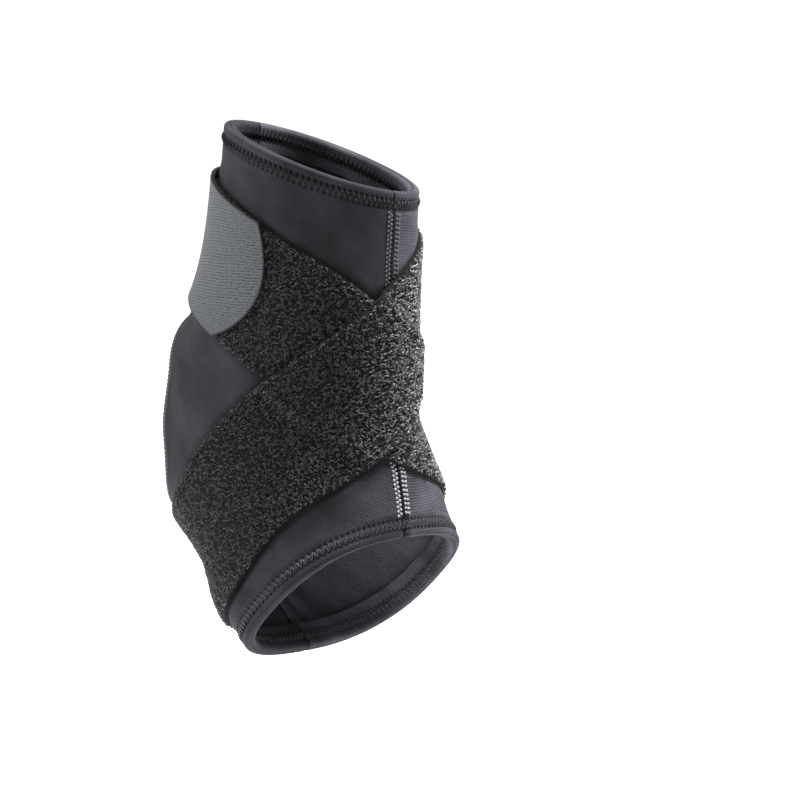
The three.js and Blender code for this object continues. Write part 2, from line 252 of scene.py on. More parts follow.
def meshed(name, points, faces, corner_uvs, edge=None):
    """An object from points in mm and faces, with a UV map in mm and, where given, each point's
    distance in mm from the nearest dark line: a cut edge or a seam, and on the hems the lines of painted
    shade at the fold and the needle holes."""
    mesh = bpy.data.meshes.new(name)
    mesh.from_pydata((points * MM).tolist(), [], faces)
    mesh.uv_layers.new(name="cloth_mm").data.foreach_set("uv", np.ravel(corner_uvs))
    if edge is not None:
        mesh.attributes.new("edge_and_shade_mm", "FLOAT", "POINT").data.foreach_set("value", np.ravel(edge))
    mesh.polygons.foreach_set("use_smooth", np.ones(len(mesh.polygons), bool))
    mesh.set_sharp_from_angle(angle=math.radians(55))
    piece = bpy.data.objects.new(name, mesh)
    bpy.context.scene.collection.objects.link(piece)
    return piece


def slab(name, lower, upper, uvs, edge=None):
    """A closed sheet between the lower and the upper points of a grid."""
    loops = np.concatenate([upper, lower[:, ::-1]], 1)
    both = np.concatenate([uvs, uvs[:, ::-1], uvs[:, :1]], 1)
    edge = None if edge is None else np.concatenate([edge, edge[:, ::-1]], 1)
    return lofted(name, loops, both, joined=False, edge=edge)


def measured(points):
    """UVs of a grid of points: mm along its rows, and mm down its columns."""
    u = np.cumsum(np.linalg.norm(np.diff(points, axis=1, prepend=points[:, :1]), axis=-1), 1)
    v = np.cumsum(np.linalg.norm(np.diff(points, axis=0, prepend=points[:1]), axis=-1), 0)
    return np.stack([u, v], -1)


SEAM_GAP = 0.04  # between cloths sewn edge to edge
HEM_BAND = 9.5  # how far the stitched hem reaches in from the edge on the outer face
TUCK = 1.4  # the panel's edge lies this far inside the heel edging's outer side
EDGE_STEPS, PANEL_COLUMNS = 20, 18
FOLLOWING = 0.65  # how closely the rows at the front seam follow the spacing of those at the back
RELAX_ROUNDS = 40  # of evening out the panel's inner places
FINE_ROWS, SEAM_COLUMNS, FINE_COLUMNS = 215, 13, 95
SEAM_ROWS = (9, 7)  # coarse rows of the back seam above and below the heel opening
SWELL = 0.55  # how far the foam rises beside the strap
SWELL_OFF, SWELL_REACH = 2.4, 2.6
GROOVE, GROOVE_REACH = 0.7, 0.9  # depth and half width of the valley along a butted seam
RIPPLE = 0.22  # unevenness of the worn cloth


def swollen(points):
    """How far the foam's face rises at points near the strap, and sinks under it."""
    past = from_strap(points)
    return SWELL * np.exp(-(((past - SWELL_OFF) / SWELL_REACH) ** 2)) - 0.3 * smooth(-past / 4)


def seam_distance(places):
    """Distance of places from the nearer of the two butted seams, in mm."""
    angle = (places[..., 1] + 180) % 360 - 180
    front = np.abs(angle - SEAM_SWING * places[..., 0] ** 2)
    return np.minimum(front, 180 - np.abs(angle)) * math.pi / 180 * ANKLE_WIDTH / 2


def worn(places):
    """The unevenness of the worn cloth, and the valleys along its butted seams."""
    off = seam_distance(places)
    across = ((places[..., 1] + 180) % 360 - 180) * math.pi / 180 * ANKLE_WIDTH / 2
    down = places[..., 0] * (LEG_HEIGHT + SOLE_DROP)
    ripple = RIPPLE * mottle(across, down, 17, 3) * smooth(off / 6)
    return ripple - GROOVE * np.exp(-((off / GROOVE_REACH) ** 2))


def band_line(edge_run, way, angles):
    """Runs of the line where the hem's outer layer ends, at angles round the sleeve."""
    dense = np.linspace(-200, 200, 201)
    at = np.full(len(dense), edge_run)
    inner = moved(np.stack([at, dense], -1), along(at, dense) * way, HEM_BAND + SEAM_GAP)
    return np.interp(angles, inner[:, 1], inner[:, 0])


def panel(name, side):
    """One panel from the front seam round one side to the back seam, trimmed at the heel opening."""
    inset = HEM_BAND + SEAM_GAP
    edge = lambda run, angle, way: moved([run, angle], along(run, angle), way * inset)[0]
    top, foot = edge(0.0, 180.0, 1), edge(1.0, 180.0, -1)
    front_top, front_foot = edge(0.0, 0.0, 1), edge(1.0, 0.0, -1)
    curve = rim(np.arange(EDGE_STEPS + 1) * 0.5 / EDGE_STEPS, TUCK)
    above = np.linspace(top, curve[0, 0], SEAM_ROWS[0] + 1)[:-1]
    below = np.linspace(curve[-1, 0], foot, SEAM_ROWS[1] + 1)[1:]
    runs = np.concatenate([above, curve[:, 0], below])
    angles = np.concatenate([np.full(len(above), 180.0), curve[:, 1], np.full(len(below), 180.0)])
    order = np.arange(len(runs)) / (len(runs) - 1)
    spread = (1 - FOLLOWING) * order + FOLLOWING * (runs - top) / (foot - top)
    front_runs = front_top + (front_foot - front_top) * spread
    swing = side * SEAM_SWING * front_runs**2
    start = moved(np.stack([front_runs, swing], -1), around(front_runs, swing), SEAM_GAP / 2)[:, 1]
    half = np.full(len(runs), 180.0)
    stop = moved(np.stack([runs, half], -1), around(runs, half), -SEAM_GAP / 2)[:, 1]
    stop = np.minimum(angles, stop)
    share = np.linspace(0, 1, PANEL_COLUMNS + 1)
    places = np.stack(
        [
            front_runs[:, None] + (runs - front_runs)[:, None] * smooth(share),
            side * (start[:, None] + (stop - start)[:, None] * share),
        ],
        -1,
    )
    places[0, :, 0] = band_line(0.0, 1, places[0, :, 1])
    places[-1, :, 0] = band_line(1.0, -1, places[-1, :, 1])
    for _ in range(RELAX_ROUNDS):
        around_them = places[:-2, 1:-1] + places[2:, 1:-1] + places[1:-1, :-2] + places[1:-1, 2:]
        places[1:-1, 1:-1] = around_them / 4
    rows = np.linspace(0, len(runs) - 1, FINE_ROWS)
    near_seam = np.linspace(0, 1, SEAM_COLUMNS)[:-1]
    columns = np.concatenate([near_seam, np.linspace(1, PANEL_COLUMNS, FINE_COLUMNS)])
    fine = refined(places, rows, columns)
    outer = on_form(fine, NEOPRENE)
    uvs = measured(outer)
    lift = NEOPRENE + swollen(outer) + worn(fine)
    return slab(name, on_form(fine, 0.0), on_form(fine, lift), uvs, seam_distance(fine))


lateral = panel("sleeve_panel_lateral", 1)
medial = panel("sleeve_panel_medial", -1)


def colour(hex_code):
    """An sRGB hex colour as linear RGBA."""
    parts = [int(hex_code[k : k + 2], 16) / 255 for k in (1, 3, 5)]
    return (*[p / 12.92 if p <= 0.04045 else ((p + 0.055) / 1.055) ** 2.4 for p in parts], 1.0)


def node(tree, kind, inputs=(), **settings):
    """Adds a node: inputs gives each socket a value or a link, and settings are its own choices."""
    made = tree.nodes.new(kind)
    for name, value in settings.items():
        setattr(made, name, value)
    for name, value in dict(inputs).items():
        if isinstance(value, bpy.types.NodeSocket):
            tree.links.new(value, made.inputs[name])
        else:
            made.inputs[name].default_value = value
    return made


def material(name, **shader):
    """A material with its shader's own sockets set."""
    made = bpy.data.materials.new(name)
    made.use_nodes = True
    surface = made.node_tree.nodes["Principled BSDF"]
    for socket, value in shader.items():
        surface.inputs[socket.replace("_", " ")].default_value = value
    return made, made.node_tree, surface


def blend(tree, share, first, second):
    """A colour that goes from the first to the second as the share goes from 0 to 1."""
    return node(tree, "ShaderNodeMix", {0: share, 6: first, 7: second}, data_type="RGBA").outputs[2]


def ramp(tree, value, low, high, top=1.0):
    """A value turned into a share: 0 at low and top at high."""
    return node(
        tree, "ShaderNodeMapRange", {0: value, "From Min": low, "From Max": high, "To Max": top}
    ).outputs[0]


def noise(tree, cloth, scale, detail, output="Fac"):
    return node(tree, "ShaderNodeTexNoise", {0: cloth, "Scale": scale, "Detail": detail}).outputs[output]


def ribs(tree, cloth, pitch, **inputs):
    """Parallel ribs across a cloth's first direction, at a pitch in mm."""
    wave = {0: cloth, "Scale": WAVE / pitch}
    wave.update({name.replace("_", " "): value for name, value in inputs.items()})
    return node(tree, "ShaderNodeTexWave", wave).outputs["Fac"]


def turned(tree, cloth, degrees):
    rotation = (0, 0, math.radians(degrees))
    return node(tree, "ShaderNodeMapping", {0: cloth, "Rotation": rotation}).outputs[0]


def towards(tree, way):
    """How far a point of the object lies in a direction from the ankle centre, in metres."""
    place = node(tree, "ShaderNodeTexCoord").outputs["Object"]
    return node(
        tree, "ShaderNodeVectorMath", {0: place, 1: way}, operation="DOT_PRODUCT"
    ).outputs["Value"]


def summed(tree, value, factor, added):
    return node(
        tree, "ShaderNodeMath", {0: value, 1: factor, 2: added}, operation="MULTIPLY_ADD"
    ).outputs[0]


def edge_and_shade_darkened(tree, tone, dark, near, far):
    """A colour darkened within near to far mm of a dark line: a cut edge or a seam, and the lines of
    painted shade.
    """
    edge = node(tree, "ShaderNodeAttribute", attribute_name="edge_and_shade_mm").outputs["Fac"]
    return blend(tree, ramp(tree, edge, near, far), colour(dark), tone)


def dressed(tree, surface, tone, height, strength, distance):
    """Links a colour and a relief to the shader."""
    tree.links.new(tone, surface.inputs["Base Color"])
    relief = {"Height": height, "Strength": strength, "Distance": distance}
    tree.links.new(node(tree, "ShaderNodeBump", relief).outputs[0], surface.inputs["Normal"])


WAVE = 0.314  # a wave texture of this scale has its ribs one unit apart
STRAINED = (0.6, -0.76, -0.55)  # the way in which the knit is pulled open, over the instep


def knit(name, deep, pale, slant, strained=0.0):
    """Nylon jersey glued to foam: a matt, very fine knit, opened by strain over the instep. The real
    wales are 0.4 mm apart and are drawn 1.1 mm apart so that they show; slant turns them."""
    made, tree, surface = material(name, Roughness=0.8, Sheen_Weight=0.05, Sheen_Roughness=0.5)
    surface.inputs["Specular IOR Level"].default_value = 0.1
    surface.inputs["Sheen Tint"].default_value = colour("#B9BDDC")
    cloth = node(tree, "ShaderNodeUVMap", uv_map="cloth_mm").outputs[0]
    slanted = turned(tree, cloth, slant)
    wale = ribs(tree, slanted, 1.1, Distortion=0.9, Detail=1.0, Detail_Scale=2.0)
    stretched = node(tree, "ShaderNodeMapping", {0: slanted, "Scale": (1.0, 0.45, 1.0)}).outputs[0]
    stitches = noise(tree, stretched, 1.1, 2.0)
    broken = node(tree, "ShaderNodeMath", {0: wale, 1: stitches}, operation="MULTIPLY").outputs[0]
    mixed = summed(tree, broken, 0.4, noise(tree, cloth, 0.05, 2.0))
    even = blend(tree, ramp(tree, mixed, 0.32, 0.88), colour(deep), colour(pale))
    opened = blend(tree, ramp(tree, broken, 0.1, 0.42), colour("#040405"), colour("#44454B"))
    strain = ramp(tree, towards(tree, STRAINED), 0.035, 0.075, strained)
    # Darkened along the butted seams, a dark joint, and on the hems along the fold's lowest line and
    # round the needle holes, which is painted shade
    tone = edge_and_shade_darkened(tree, blend(tree, strain, even, opened), "#060607", 0.25, 0.8)
    dressed(tree, surface, tone, broken, summed(tree, strain, 0.5, 0.4), 0.00014)
    return made


# The two copies differ in their knit's slant, and the medial copy is painted lighter: painted light on
# the side that the right softbox lights
knits = [
    knit("nylon_faced_neoprene_bias", "#101012", "#29292D", -38, 1.0),
    knit("nylon_faced_neoprene_cross_painted_lit", "#1D1D20", "#45454B", 88, 0.25),
]
lateral.data.materials.append(knits[0])
medial.data.materials.append(knits[1])
for piece, place in ((lateral, "lateral_panel"), (medial, "medial_panel")):
    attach(piece, "root")
    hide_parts(place)

# ------------------------------------------------------------------------------------------------
# Seam stitching
# The butted seams are held by two flat cover stitches, one in each panel: four rows of thick grey
# thread that show as beads, pulled tight into the face.
# ------------------------------------------------------------------------------------------------
SEAM_END = 8.8  # the beads stop this far from the top and the foot edge
BEAD_CLEAR = 0.02  # and this share of the sleeve's run before the heel opening
# Rows across the front seam, towards the inner side: offset, bead width, length and pitch in mm, and
# where the first bead lies, as a share of the pitch
BEAD_ROWS = [
    (-3.1, 1.5, 1.45, 1.75, 0.0),
    (-1.6, 1.5, 1.4, 1.75, 0.5),
    (1.45, 1.6, 1.3, 1.75, 0.1),
    (3.0, 1.8, 1.35, 1.75, 0.2),
]
BEAD_RISE = 0.62
TWIST_SLANT = math.degrees(0.5)  # by which a thread's strands lie across it


def thread(name, deep, pale, twist, shine=0.4, painted_shade_up=0.0):
    """Twisted polyester thread: satin, with darker lines between its strands, twist mm apart, and
    painted darker by a share up the leg: painted shade, where less light reaches the thread."""
    made, tree, surface = material(name, Roughness=0.5, Sheen_Weight=shine / 4, Sheen_Roughness=0.4)
    surface.inputs["Specular IOR Level"].default_value = shine
    cloth = node(tree, "ShaderNodeUVMap", uv_map="cloth_mm").outputs[0]
    slanted = turned(tree, cloth, TWIST_SLANT)
    strand = ribs(tree, slanted, twist, Distortion=2.0, Detail=2.0)
    spun = blend(tree, strand, colour(deep), colour(pale))
    # Painted shade: the thread's colour darkens up the leg, for the weaker light there
    painted_shade_share = ramp(tree, towards(tree, (0.0, 0.0, 1.0)), 0.0, 0.05, painted_shade_up)
    tone = blend(tree, painted_shade_share, spun, colour("#0E0E10"))
    dressed(tree, surface, tone, strand, 0.6, 0.0001)
    return made


def ball():
    """A small rounded body from a cube of two cells a side: its points and quads."""
    three = (-1, 0, 1)
    grid = [(x, y, z) for x in three for y in three for z in three if (x, y, z) != (0, 0, 0)]
    points = unit(np.array(grid, float))
    quads = []
    for axis in range(3):
        for side in (-1, 1):
            for a in (-1, 0):
                for b in (-1, 0):
                    ring = [(a, b), (a + 1, b), (a + 1, b + 1), (a, b + 1)][::side]
                    corners = [list(c) for c in ring]
                    for c in corners:
                        c.insert(axis, side)
                    flip = -1 if axis == 1 else 1
                    quads.append([grid.index(tuple(c)) for c in corners][::flip])
    return points, np.array(quads)


def beads(name, mid_angle):
    """The beads of the four rows along one butted seam."""
    body, quads = ball()
    points = []
    coarse = np.linspace(0, 1, 161)
    for offset, wide, long, pitch, first in BEAD_ROWS:
        swing = SEAM_SWING * coarse**2 * (mid_angle == 0)
        middle = np.stack([coarse, mid_angle + swing], -1)
        row = moved(middle, around(middle[:, 0], middle[:, 1]) * -1.0, offset)
        at = on_form(row, NEOPRENE)
        arc = np.concatenate([[0], np.cumsum(np.linalg.norm(np.diff(at, axis=0), axis=1))])
        places = np.arange(SEAM_END + first * pitch, arc[-1] - SEAM_END, pitch)
        place = np.stack([np.interp(places, arc, row[:, c]) for c in (0, 1)], -1)
        if mid_angle > 90:
            above = place[:, 0] <= OPENING_MIDDLE - OPENING_ABOVE - BEAD_CLEAR
            below = place[:, 0] >= OPENING_MIDDLE + OPENING_BELOW + BEAD_CLEAR
            place = place[above | below]
        out = facing(place[:, 0], place[:, 1])
        down = unit(along(place[:, 0], place[:, 1]))
        across = np.cross(out, down)
        lift = NEOPRENE + swollen(on_form(place, NEOPRENE)) + 0.02
        centre = on_form(place, lift)
        size = np.array([wide / 2, long / 2 * 0.92, BEAD_RISE])
        shape = body[None] * size
        points.append(
            centre[:, None]
            + across[:, None] * shape[..., :1]
            + down[:, None] * shape[..., 1:2]
            + out[:, None] * shape[..., 2:]
        )
    points = np.concatenate(points)
    faces = (np.arange(len(points))[:, None, None] * len(body) + quads).reshape(-1, 4)
    flat = np.tile(body[:, :2] * 1.2, (len(points), 1))
    return meshed(name, points.reshape(-1, 3), faces.tolist(), flat[faces.reshape(-1)])


# The seam thread is painted darker up the leg, as painted shade
seam_thread = thread("cover_stitch_thread", "#2E2F33", "#A4A6AC", 0.5, painted_shade_up=0.9)
for piece in (beads("seam_beads_front", 0.0), beads("seam_beads_back", 180.0)):
    piece.data.materials.append(seam_thread)
    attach(piece, "root")

# ------------------------------------------------------------------------------------------------
# Turned hems
# At the top and the foot edge the neoprene is folded inwards over 11 mm and sewn down with a zigzag,
# which pulls a small dimple into the face at each needle hole.
# ------------------------------------------------------------------------------------------------
HEM_DEPTH = 11.0
HEM_LIP = 2.0
TURNED = -2.1  # lift of the turned-in layer's face inside the sleeve
ZIGZAG = (3.6, 7.0)  # distance of the needle holes from the edge
STITCH = 2.4  # length of one zigzag
DIMPLE, DIMPLE_REACH = 0.85, 0.75
FOLD_CREST = 11.5  # how far round the section, from the sewn edge, the fold's lowest line lies
THREAD = 0.6
BAND_ROWS, DEPTH_ROWS = 17, 12  # rows of the hem's mesh on the outer and the inner face
ZIGZAG_RISE = (-0.45, 0.12, 0.3, 0.12)  # lift of the thread over the face from one hole to the next


def fold(band_rows, depth_rows):
    """The hem's cross-section from its sewn edge over the fold and back inside: distance in from
    the edge, and lift."""
    outer = [(d, NEOPRENE) for d in np.linspace(HEM_BAND, HEM_LIP, band_rows)]
    turn = [(1.3, 2.97), (0.8, 2.82), (0.42, 2.52), (0.16, 2.1), (0.02, 1.5), (0.0, 0.7)]
    turn += [(0.06, -0.2), (0.25, -0.95), (0.6, -1.5), (1.15, -1.92)]
    inner = [(d, TURNED) for d in np.linspace(HEM_LIP, HEM_DEPTH, depth_rows)]
    pocket = [(HEM_DEPTH, -1.3), (HEM_DEPTH, -0.5), (HEM_LIP, -0.5)]
    pocket += [(HEM_LIP - 0.3, -0.25), (HEM_LIP, 0.0)]
    end = [(HEM_BAND, 0.0), (HEM_BAND, 1.5)]
    return np.array(outer + turn + inner + pocket + end)


def hem(name, edge_run, way):
    """A hem all round one edge, and the needle holes of its zigzag."""
    coarse = np.linspace(0, 360, 121)[:-1]
    section = fold(BAND_ROWS, DEPTH_ROWS)
    steps = np.unique(np.concatenate([[0.0], section[:, 0]]))
    edge = np.stack([np.full(len(coarse), edge_run), coarse], -1)
    going = along(edge[:, 0], edge[:, 1]) * way
    inset = {d: moved(edge, going, d, 4) if d else edge for d in steps}
    loops = np.stack([inset[d] for d in section[:, 0]], 1)
    around_twice = np.concatenate([loops[-3:] - [0, 360], loops, loops[:3] + [0, 360]])
    girth = np.linalg.norm(np.roll(on_form(edge, NEOPRENE), -1, 0) - on_form(edge, NEOPRENE), axis=1)
    arc = np.concatenate([[0], np.cumsum(girth)])
    count = 2 * round(arc[-1] / STITCH / 2)
    columns = count * 6
    turn = np.interp(np.linspace(0, arc[-1], columns + 1)[:-1], arc, np.arange(len(arc)))
    places = through(around_twice, turn + 3)
    u = np.linspace(0, count * STITCH, columns + 1)[:, None] + np.zeros(len(section) + 1)
    down = np.cumsum(np.hypot(*np.diff(section, axis=0, prepend=section[:1]).T))
    v = np.append(down, 0)[None, :] + np.zeros((columns + 1, 1))
    lift = section[:, 1][None, :] + np.zeros((columns, 1))
    face = on_form(places, lift)
    raised = (swollen(face) * smooth((section[:, 0] - 1.5) / 3) + worn(places)) * (section[:, 1] > 2)
    phase = u[:-1, :-1] / STITCH
    # Painted shade: the knit darkens along the fold's lowest line, under the fold, and round each needle
    # hole, in its dimple
    dark = np.abs(down - FOLD_CREST) + np.zeros((columns, 1))
    for offset, row in zip((0.0, 0.5), ZIGZAG):
        off = (phase + offset + 0.5) % 1 - 0.5
        to_hole = np.hypot(off * STITCH, section[:, 0] - row) + 0.1 + 9 * (section[:, 1] < 2)
        dark = np.minimum(dark, to_hole)
        hole = np.exp(-((off * STITCH / DIMPLE_REACH) ** 2 + ((section[:, 0] - row) / DIMPLE_REACH) ** 2))
        raised = raised - DIMPLE * hole * (section[:, 1] > 2)
        raised = raised + 0.6 * DIMPLE * hole * (section[:, 1] < -2)
    puff = 0.3 * np.exp(-(((section[:, 0] - sum(ZIGZAG) / 2) / 1.1) ** 2)) * (section[:, 1] > 2)
    points = on_form(places, lift + raised + puff)
    dark = np.minimum(dark, seam_distance(places))
    piece = lofted(name, points, np.stack([u, -way * v], -1), joined=True, edge=dark)
    inner_side = (places[:, :1, 1] % 360 > 180) + np.zeros((columns, len(section)))
    piece.data.polygons.foreach_set("material_index", inner_side.astype(int).ravel())
    return piece, (around_twice, arc, count)


def zigzag(name, cloth, way_out):
    """The zigzag thread of a hem, on its outer face, or inside where way_out is below 0."""
    around_twice, arc, count = cloth
    columns = len(ZIGZAG_RISE)
    k = np.arange(count * 2 * columns)
    share, half = (k % columns) / columns, k // columns
    at = ((half + share) * STITCH / 2) % arc[-1]
    turn = np.interp(at, arc, np.arange(len(arc)))
    rows = BAND_ROWS
    distances = fold(rows, DEPTH_ROWS)[:rows, 0][::-1]
    grid = through(around_twice, turn + 3)[:, :rows][:, ::-1]
    near, far = ZIGZAG
    wanted = np.where(half % 2 == 1, far + (near - far) * share, near + (far - near) * share)
    column = np.interp(wanted, distances, np.arange(rows))
    low = np.clip(column.astype(int), 0, rows - 2)
    part = (column - low)[:, None]
    place = grid[k, low] * (1 - part) + grid[k, low + 1] * part
    base = NEOPRENE if way_out > 0 else TURNED
    swell = swollen(on_form(place, NEOPRENE)) if way_out > 0 else 0.0
    rise = np.array(ZIGZAG_RISE)[k % columns]
    path = on_form(place, base + swell + way_out * rise)
    return tube(name, path, facing(place[:, 0], place[:, 1]), THREAD / 2, 5)


def tube(name, path, out, radius, sides):
    """A closed thread along a ring of points."""
    going = unit(np.roll(path, -1, 0) - np.roll(path, 1, 0))
    side = unit(np.cross(going, out))
    out = np.cross(side, going)
    a = np.linspace(0, 2 * math.pi, sides, endpoint=False)[None, :, None]
    points = path[:, None] + radius * (np.cos(a) * side[:, None] + np.sin(a) * out[:, None])
    u = np.arange(len(path) + 1)[:, None] * 0.4 + np.zeros(sides + 1)
    v = np.zeros((len(path) + 1, 1)) + np.linspace(0, 1.2, sides + 1)
    return lofted(name, points, np.stack([u, v], -1), joined=True)


# As on the panels, the medial copy is painted lighter: painted light on the side that the right softbox
# lights
hem_knits = [
    knit("nylon_faced_neoprene_hem_bias", "#101012", "#29292D", -38),
    knit("nylon_faced_neoprene_hem_cross_painted_lit", "#1D1D20", "#45454B", 88),
]
top_hem, top_cloth = hem("sleeve_hem_top", 0.0, 1)
foot_hem, foot_cloth = hem("sleeve_hem_foot", 1.0, -1)
for piece, place, girth in ((top_hem, "top_hem", 0.251), (foot_hem, "foot_hem", 0.296)):
    for cloth in hem_knits:
        piece.data.materials.append(cloth)
    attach(piece, "root")
    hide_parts(place)
# The top hem's thread is painted darker than the foot hem's: painted shade up the leg, as on the seam
# thread
hem_threads = {
    "top": thread("zigzag_thread_top_painted_dark", "#060607", "#141416", 0.5, 0.1),
    "foot": thread("zigzag_thread_foot", "#121315", "#3A3C40", 0.5, 0.25),
}
for edge, cloth in (("top", top_cloth), ("foot", foot_cloth)):
    for side, way_out in (("outside", 1), ("inside", -1)):
        piece = zigzag(f"zigzag_{edge}_{side}", cloth, way_out)
        piece.data.materials.append(hem_threads[edge])
        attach(piece, "root")

# ------------------------------------------------------------------------------------------------
# Heel edging
# The oval heel opening is cut in the panels and overlocked all round: black thread wraps the cut
# edge closely, so the rim is a soft ridged roll.
# ------------------------------------------------------------------------------------------------
EDGING_WIDTH, EDGING_THICK = 3.0, 4.2
WRAP = 1.7  # spacing of the thread's wraps
WRAP_RISE = 0.28
EDGING_SIDES, STEPS_PER_WRAP = 14, 6


def edging(name):
    """The overlocked roll round the heel opening."""
    sides, per_wrap = EDGING_SIDES, STEPS_PER_WRAP
    turns = np.linspace(0, 1, 2 * EDGE_STEPS * 4 + 1)
    rim_places = {d: rim(turns, d) for d in (0.0, EDGING_WIDTH / 2, EDGING_WIDTH)}
    middle = on_form(rim_places[EDGING_WIDTH / 2], NEOPRENE / 2)
    arc = np.concatenate([[0], np.cumsum(np.linalg.norm(np.diff(middle, axis=0), axis=1))])
    wraps = round(arc[-1] / WRAP)
    fine = np.interp(np.linspace(0, arc[-1], wraps * per_wrap + 1)[:-1], arc, np.arange(len(arc)))
    centre = through(middle, fine)
    inward = unit(through(on_form(rim_places[EDGING_WIDTH], NEOPRENE / 2), fine) - centre)
    places = through(rim_places[EDGING_WIDTH / 2], fine)
    out = facing(places[:, 0], places[:, 1])
    a = np.linspace(0, 2 * math.pi, sides, endpoint=False)
    phase = np.arange(wraps * per_wrap)[:, None] / per_wrap + a[None, :] / (2 * math.pi) * 1.0
    ridge = WRAP_RISE * (np.abs(np.sin(phase * math.pi)) - 0.6)
    across = (EDGING_WIDTH / 2 + 0.1 + ridge) * np.sign(np.cos(a)) * np.abs(np.cos(a)) ** 0.8
    up = (EDGING_THICK / 2 + ridge) * np.sign(np.sin(a)) * np.abs(np.sin(a)) ** 0.8
    points = centre[:, None] + inward[:, None] * across[..., None] + out[:, None] * up[..., None]
    u = np.arange(len(fine) + 1)[:, None] * WRAP / per_wrap + np.zeros(sides + 1)
    v = np.zeros((len(fine) + 1, 1)) + np.linspace(0, 11, sides + 1)
    return lofted(name, points, np.stack([u, v], -1), joined=True)


heel_edging = edging("heel_edging_overlocked")
heel_edging.data.materials.append(thread("overlock_thread", "#08080A", "#232429", 0.45))
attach(heel_edging, "root")
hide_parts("heel_edging")

# ------------------------------------------------------------------------------------------------
# Figure-of-eight strap
# One long two-inch strap with a short unbroken-loop pile on its outer face, sewn on behind the ankle,
# wound down over the instep, under the sole and up over the instep again, and round the leg.
# ------------------------------------------------------------------------------------------------
STRAP_THICK = 2.2
STRAP_BASE = NEOPRENE + 0.15  # it sinks a little into the foam
STRAP_END = -572
FIRST_TURN_END = -75
CROSSING = (-230, -450)
LAYER = 2.35
HOLD, RAMP = 1.2, 5.5  # the upper strap stays up this far past the lower one, then comes down
STRAP_STATIONS, STRAP_OFFSETS = (142, 680), (17, 61)  # coarse and fine rows and columns
PILE_UNEVEN = ((0.20, 1.9, 11), (0.10, 1.05, 12), (0.10, 7, 13))  # height and size in mm, and seed


def beside(length, offset):
    """Places beside the strap's line: length along it, offset across it towards the foot."""
    length, offset = np.broadcast_arrays(length, offset)
    k = np.clip(length, 0, len(line_points) - 1.001)
    start = np.stack([np.interp(k, whole, line_places[:, c]) for c in (0, 1)], -1)
    way = np.stack([np.interp(k, whole, line_ways[:, c]) for c in (0, 1, 2)], -1)
    return moved(start, np.cross(facing(start[..., 0], start[..., 1]), way), offset)


def held_up(points, first, last):
    return 1 - smooth((from_strap(points, first, last) - HOLD) / RAMP)


first_turn = (0, length_at(FIRST_TURN_END))


def strap(name):
    """The strap, with its pile's uneven surface."""
    start, stop = 1.0, float(length_at(STRAP_END))
    stations = np.linspace(start, stop, STRAP_STATIONS[0])
    offsets = np.linspace(-STRAP_WIDTH / 2, STRAP_WIDTH / 2, STRAP_OFFSETS[0])
    coarse = beside(stations[:, None], offsets[None, :])
    rows = np.linspace(0, len(stations) - 1, STRAP_STATIONS[1])
    columns = np.linspace(0, len(offsets) - 1, STRAP_OFFSETS[1])
    places = refined(coarse, rows, columns)
    length = np.interp(rows, np.arange(len(stations)), stations)[:, None]
    across = np.interp(columns, np.arange(len(offsets)), offsets)[None, :]
    face = on_form(places, NEOPRENE)
    over, clear = (length_at(a) for a in CROSSING)
    raised = LAYER * held_up(face, *first_turn) * ((length > over) & (length < clear))
    u, v = across + 0 * length, length + 0 * across
    pile = sum(height * mottle(u, v, size, seed) for height, size, seed in PILE_UNEVEN)
    at_edge = STRAP_WIDTH / 2 - np.abs(across)
    thick = STRAP_THICK * (0.65 + 0.35 * smooth((at_edge + 0.3) / 1.8)) + pile * smooth(at_edge / 1.5)
    low = STRAP_BASE + raised + 0.15 * smooth(1 - at_edge / 2)
    uvs = np.stack([u + STRAP_WIDTH / 2, v], -1)
    face = on_form(places, low + thick)
    edge = np.minimum(at_edge + 0 * length, np.minimum(length - start, stop - length))
    return slab(name, on_form(places, low), face, uvs, edge), face


LOOP_THREAD = 0.55  # a loop's bundle of filaments
LOOP_SPAN = (1.1, 2.1)
LOOP_RISE = 0.55
LOOP_RINGS, LOOP_SIDES = 4, 3
LOOP_COUNT, FIRST_SEED = 9800, 20
PAINTED_GLINT_WAY = (0.65, -0.76, 0.0)  # the way towards the lit inner front, in which the loops' painted glints and shade grow stronger
